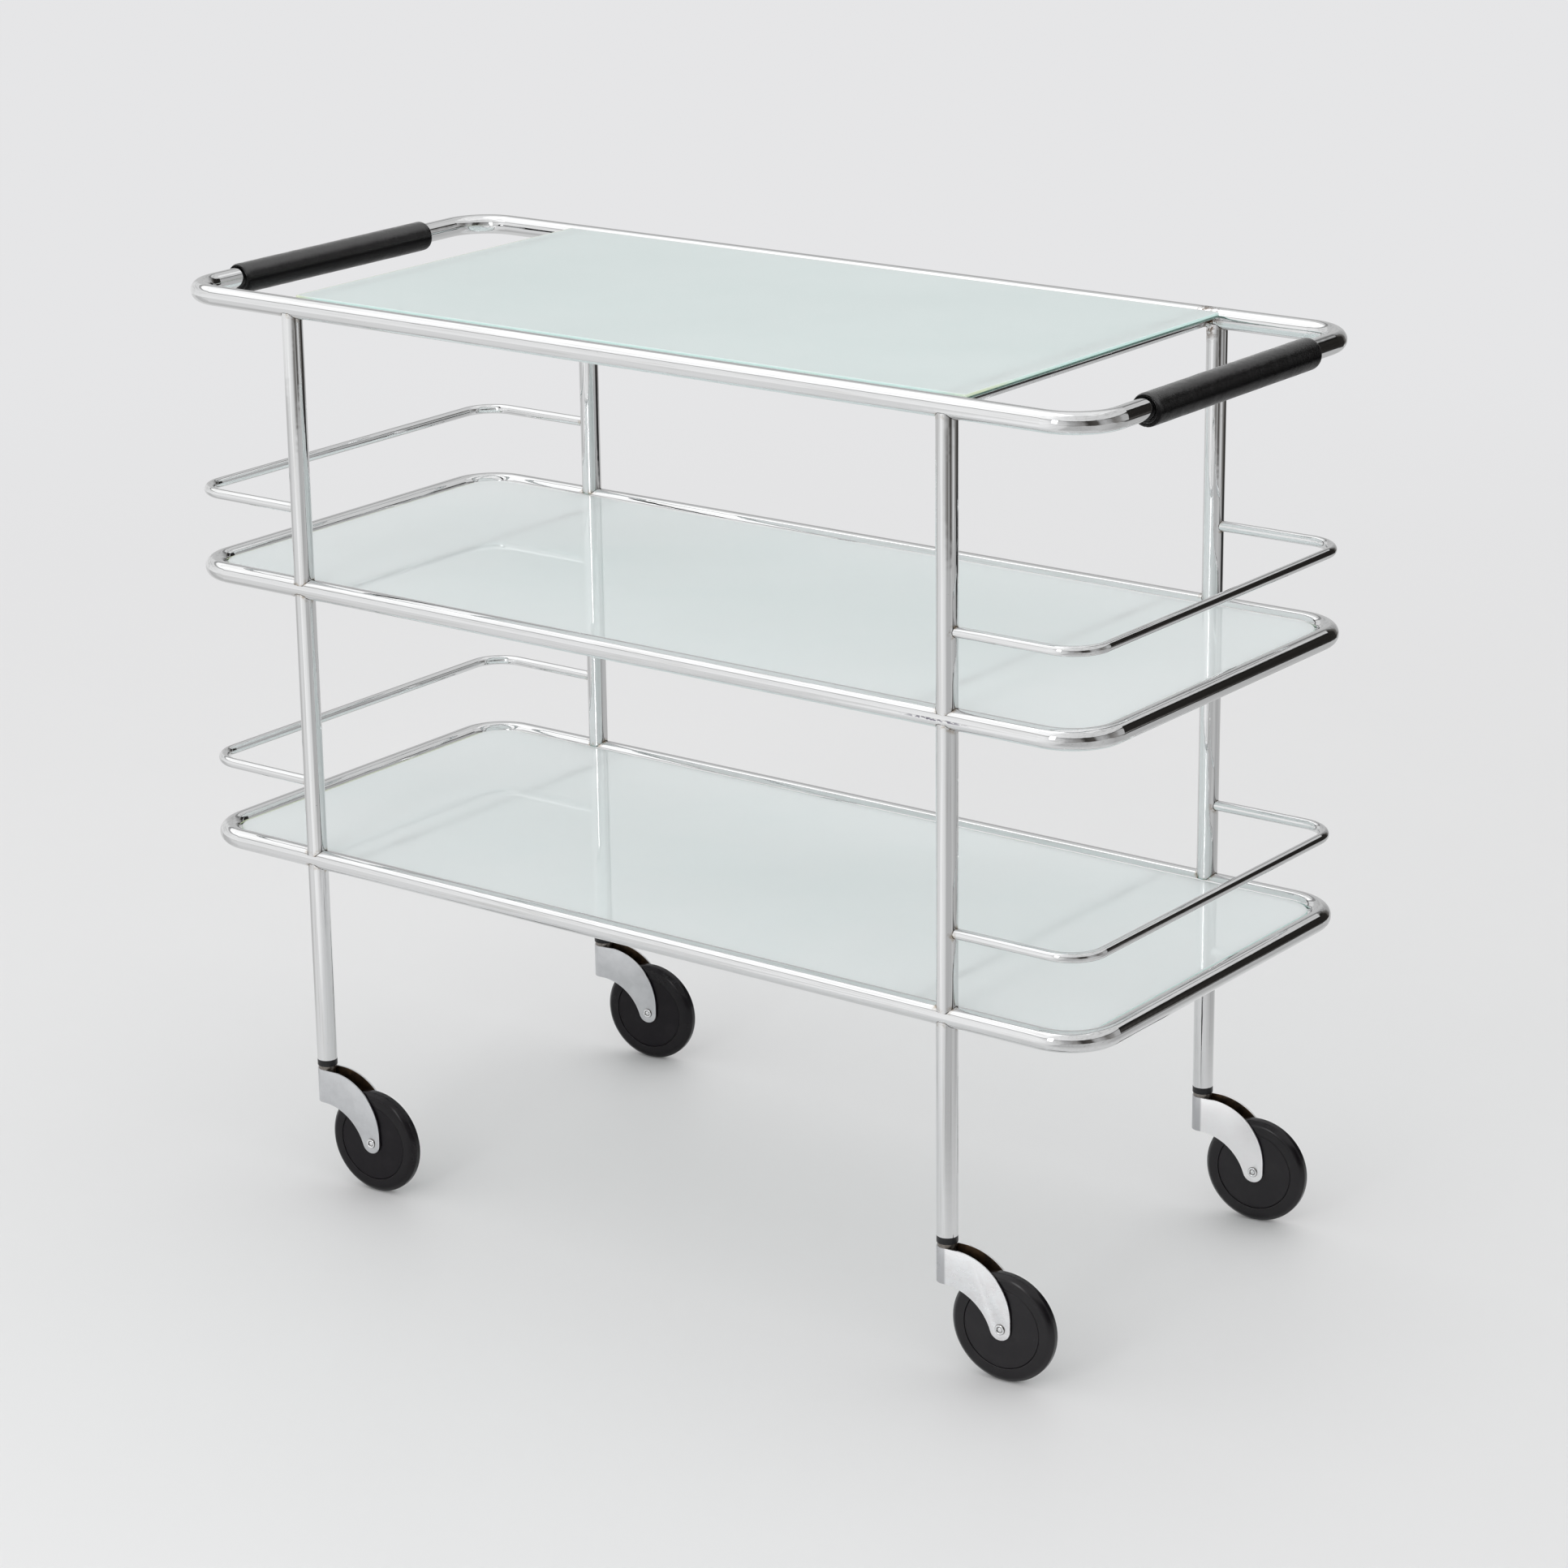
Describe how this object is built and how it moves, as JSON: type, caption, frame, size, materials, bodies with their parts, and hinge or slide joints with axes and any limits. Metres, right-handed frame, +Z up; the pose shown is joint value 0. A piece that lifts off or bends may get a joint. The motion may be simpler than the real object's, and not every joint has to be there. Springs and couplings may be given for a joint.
{
  "type": "bar cart",
  "caption": "Tubular steel bar cart with glass shelves in welded hoops, end guard rails, leather push grips and swivelling casters.",
  "frame": {"origin": "on the floor, under the middle of the four posts", "axes": "+X along the cart to the right-hand grip as seen from the front, +Y from the front long side to the back, +Z up"},
  "size_m": [1.0238, 0.4473, 0.8634],
  "materials": {
    "chrome": "bright plated",
    "frosted_glass": "glossy top, frosted pale mint body",
    "clear_pad": "clear soft",
    "grip_core": "firm foam",
    "black_leather": "fine grain, low sheen",
    "socket_plastic": "moulded",
    "zinc_plate": "satin zinc",
    "plain_steel": "turned",
    "wheel_plastic": "moulded",
    "tyre_rubber": "moulded"
  },
  "bodies": {
    "frame": {"top_hoop": "chrome", "middle_hoop": "chrome", "bottom_hoop": "chrome", "upper_post_front_left": "chrome", "upper_post_front_right": "chrome", "upper_post_back_left": "chrome", "upper_post_back_right": "chrome", "middle_post_front_left": "chrome", "middle_post_front_right": "chrome", "middle_post_back_left": "chrome", "middle_post_back_right": "chrome", "lower_post_front_left": "chrome", "lower_post_front_right": "chrome", "lower_post_back_left": "chrome", "lower_post_back_right": "chrome", "middle_rail_left": "chrome", "middle_rail_right": "chrome", "bottom_rail_left": "chrome", "bottom_rail_right": "chrome", "top_rod_left": "chrome", "top_rod_right": "chrome", "middle_rod_left": "chrome", "middle_rod_right": "chrome", "bottom_rod_left": "chrome", "bottom_rod_right": "chrome", "top_glass": "frosted_glass", "middle_glass": "frosted_glass", "bottom_glass": "frosted_glass", "glass_pads": "clear_pad", "grip_core_left": "grip_core", "grip_leather_left": "black_leather", "grip_core_right": "grip_core", "grip_leather_right": "black_leather", "caster_socket_front_left": "socket_plastic", "caster_socket_front_right": "socket_plastic", "caster_socket_back_left": "socket_plastic", "caster_socket_back_right": "socket_plastic", "thrust_washers": "plain_steel"},
    "swivel_front_left": {"caster_stem_front_left": "plain_steel", "caster_fork_front_left": "zinc_plate", "caster_axle_front_left": "plain_steel"},
    "wheel_front_left": {"wheel_front_left": "wheel_plastic", "tyre_front_left": "tyre_rubber"},
    "swivel_front_right": {"caster_stem_front_right": "plain_steel", "caster_fork_front_right": "zinc_plate", "caster_axle_front_right": "plain_steel"},
    "wheel_front_right": {"wheel_front_right": "wheel_plastic", "tyre_front_right": "tyre_rubber"},
    "swivel_back_left": {"caster_stem_back_left": "plain_steel", "caster_fork_back_left": "zinc_plate", "caster_axle_back_left": "plain_steel"},
    "wheel_back_left": {"wheel_back_left": "wheel_plastic", "tyre_back_left": "tyre_rubber"},
    "swivel_back_right": {"caster_stem_back_right": "plain_steel", "caster_fork_back_right": "zinc_plate", "caster_axle_back_right": "plain_steel"},
    "wheel_back_right": {"wheel_back_right": "wheel_plastic", "tyre_back_right": "tyre_rubber"}
  },
  "joints": [
    {"name": "swivel_turn_front_left", "type": "hinge", "parent": "frame", "child": "swivel_front_left", "pos_m": [-0.36, -0.2095, 0.115], "axis": [0, 0, 1], "continuous": true},
    {"name": "wheel_roll_front_left", "type": "hinge", "parent": "swivel_front_left", "child": "wheel_front_left", "pos_m": [-0.30308, -0.20652, 0.05], "axis": [-0.0523, 0.9986, 0], "continuous": true},
    {"name": "swivel_turn_front_right", "type": "hinge", "parent": "frame", "child": "swivel_front_right", "pos_m": [0.36, -0.2095, 0.115], "axis": [0, 0, 1], "continuous": true},
    {"name": "wheel_roll_front_right", "type": "hinge", "parent": "swivel_front_right", "child": "wheel_front_right", "pos_m": [0.4168, -0.20473, 0.05], "axis": [-0.0837, 0.9965, 0], "continuous": true},
    {"name": "swivel_turn_back_left", "type": "hinge", "parent": "frame", "child": "swivel_back_left", "pos_m": [-0.36, 0.2095, 0.115], "axis": [0, 0, 1], "continuous": true},
    {"name": "wheel_roll_back_left", "type": "hinge", "parent": "swivel_back_left", "child": "wheel_back_left", "pos_m": [-0.30338, 0.21605, 0.05], "axis": [-0.1149, 0.9934, 0], "continuous": true},
    {"name": "swivel_turn_back_right", "type": "hinge", "parent": "frame", "child": "swivel_back_right", "pos_m": [0.36, 0.2095, 0.115], "axis": [0, 0, 1], "continuous": true},
    {"name": "wheel_roll_back_right", "type": "hinge", "parent": "swivel_back_right", "child": "wheel_back_right", "pos_m": [0.4167, 0.21536, 0.05], "axis": [-0.1028, 0.9947, 0], "continuous": true}
  ]
}
